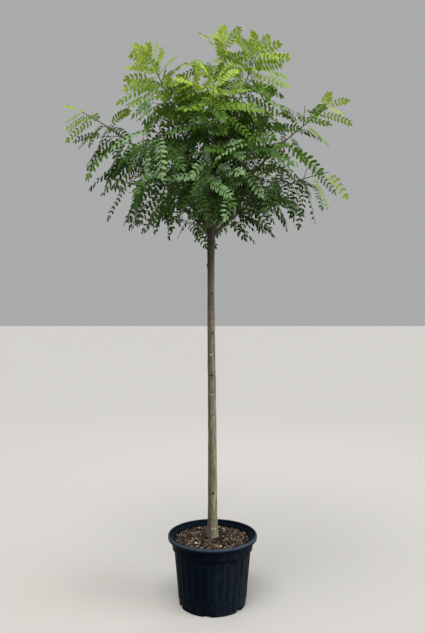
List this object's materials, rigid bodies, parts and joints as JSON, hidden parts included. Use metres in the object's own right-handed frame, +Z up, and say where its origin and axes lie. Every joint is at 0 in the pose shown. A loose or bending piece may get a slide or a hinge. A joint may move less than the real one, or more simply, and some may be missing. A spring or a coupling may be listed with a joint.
{
  "type": "japanese pagoda tree in a nursery pot",
  "caption": "Young standard tree with a clear stem and a bushy head of feathery pinnate leaves, growing in a ribbed round nursery pot.",
  "frame": {"origin": "middle of the pot's flat underside", "axes": "+Z up along the trunk, +X to the right and -Y to the viewer"},
  "size_m": [1.2474, 1.0588, 2.5814],
  "materials": {
    "pot": "dark blue-black moulded plastic, satin",
    "soil": "bark and peat potting mix, rough",
    "bark": "smooth grey-olive young bark",
    "bough_bark": "dark olive-brown young bark",
    "leaves_deep": "deep green leaves, soft sheen",
    "leaves_fresh": "fresh yellow-green leaves, soft sheen"
  },
  "bodies": {
    "root": {"pot": "pot", "soil": "soil", "trunk": "bark", "bough_leader": "bough_bark", "bough_left_rise": "bough_bark", "bough_left_arm": "bough_bark", "bough_left_low": "bough_bark", "bough_right_arm": "bough_bark", "bough_right_low": "bough_bark", "bough_front_rise": "bough_bark", "bough_back_rise": "bough_bark", "bough_top_right": "bough_bark", "bough_top_back": "bough_bark", "bough_left_back": "bough_bark", "bough_left_mid": "bough_bark", "bough_low_back_left": "bough_bark", "bough_front_left": "bough_bark", "bough_front_right": "bough_bark", "bough_low_front": "bough_bark", "bough_right_mid": "bough_bark", "bough_right_back": "bough_bark", "bough_low_front_right": "bough_bark", "bough_low_back_right": "bough_bark", "bough_low_back": "bough_bark", "foliage_leader": "leaves_fresh", "foliage_left_rise": "leaves_fresh", "foliage_left_arm": "leaves_fresh", "foliage_left_low": "leaves_deep", "foliage_right_arm": "leaves_fresh", "foliage_right_low": "leaves_deep", "foliage_front_rise": "leaves_fresh", "foliage_back_rise": "leaves_deep", "foliage_top_right": "leaves_fresh", "foliage_top_back": "leaves_fresh", "foliage_left_back": "leaves_fresh", "foliage_left_mid": "leaves_deep", "foliage_low_back_left": "leaves_deep", "foliage_front_left": "leaves_deep", "foliage_front_right": "leaves_deep", "foliage_low_front": "leaves_deep", "foliage_right_mid": "leaves_deep", "foliage_right_back": "leaves_fresh", "foliage_low_front_right": "leaves_deep", "foliage_low_back_right": "leaves_deep", "foliage_low_back": "leaves_deep"}
  },
  "joints": []
}
